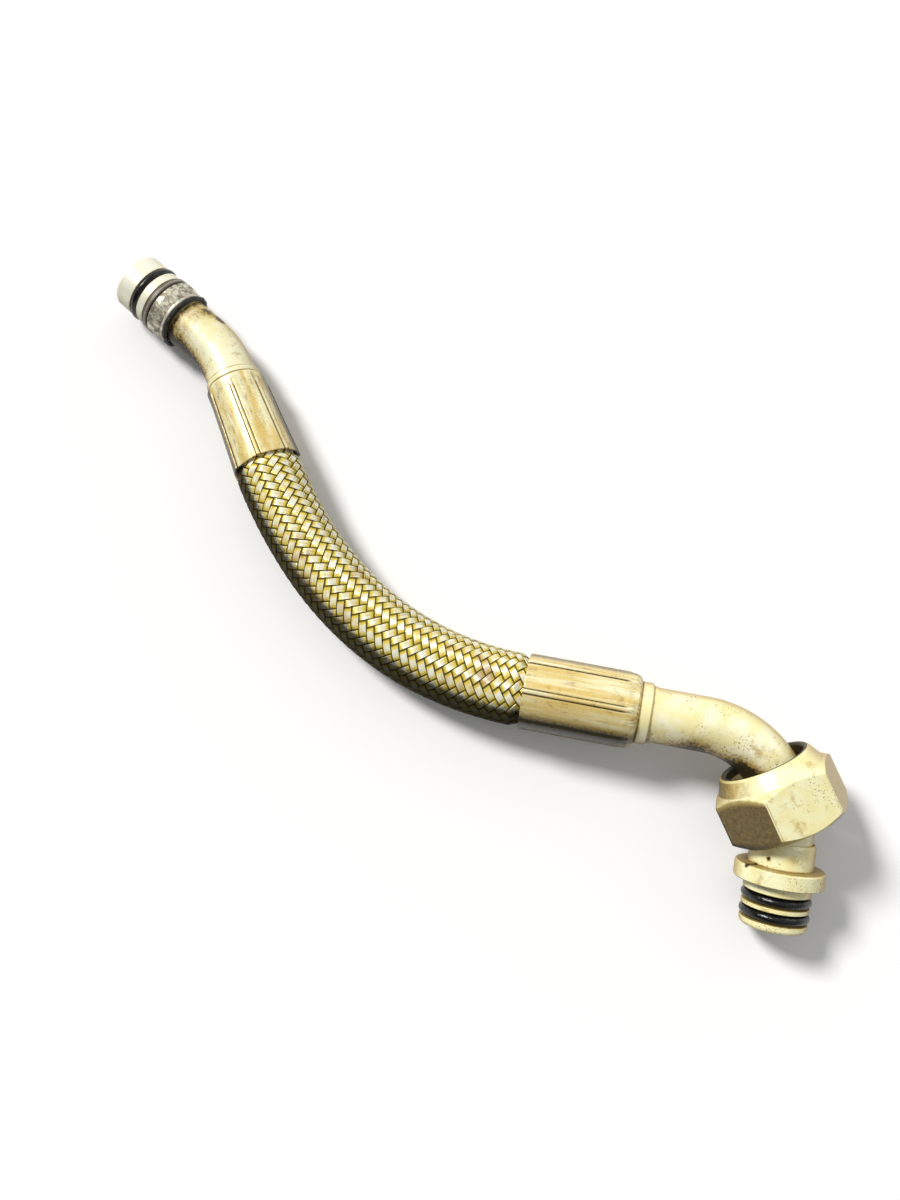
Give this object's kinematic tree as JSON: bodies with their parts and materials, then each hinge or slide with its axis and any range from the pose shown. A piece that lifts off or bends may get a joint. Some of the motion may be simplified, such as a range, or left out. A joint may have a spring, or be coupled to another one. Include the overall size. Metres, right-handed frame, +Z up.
{
  "type": "oil cooler hose",
  "caption": "Short steel-braided hose crimped between two bent metal pipes, with a sealed push-in spigot at one end and a sealed flanged spigot with a loose hexagonal union nut at the other.",
  "frame": {"origin": "centre of the underside of the box around the fittings, on the surface that the hose lies on", "axes": "+X from the push-in spigot toward the flanged spigot, along the longest extent; +Z up from the surface"},
  "size_m": [0.2672, 0.0733, 0.032],
  "materials": {
    "plating": "pale yellow-cream plating, stained, with dark specks",
    "ferrule_steel": "golden crimped steel with dark streaks",
    "braid_steel": "bright woven steel wire, oily yellow in its gaps",
    "worn_steel": "grey, scuffed and mottled",
    "seal_rubber": "glossy, oiled",
    "ring_polymer": "dull grey-brown",
    "liner_rubber": "matt"
  },
  "bodies": {
    "hose_assembly": {"upper_spigot": "plating", "upper_o_ring": "seal_rubber", "upper_retaining_ring": "ring_polymer", "upper_locking_sleeve": "worn_steel", "upper_dust_seal": "seal_rubber", "upper_pipe": "plating", "upper_hose_tail": "plating", "upper_ferrule": "ferrule_steel", "hose_liner": "liner_rubber", "braid_sleeve": "braid_steel", "lower_ferrule": "ferrule_steel", "lower_hose_tail": "plating", "lower_pipe": "plating", "lower_spigot": "plating", "lower_o_ring_inner": "seal_rubber", "lower_o_ring_outer": "seal_rubber"},
    "nut": {"union_nut": "plating"}
  },
  "joints": [
    {"name": "nut_spin", "type": "hinge", "parent": "hose_assembly", "child": "nut", "pos_m": [0.10342, 0.01396, 0.01637], "axis": [0.9323, -0.3174, -0.1736], "continuous": true}
  ]
}
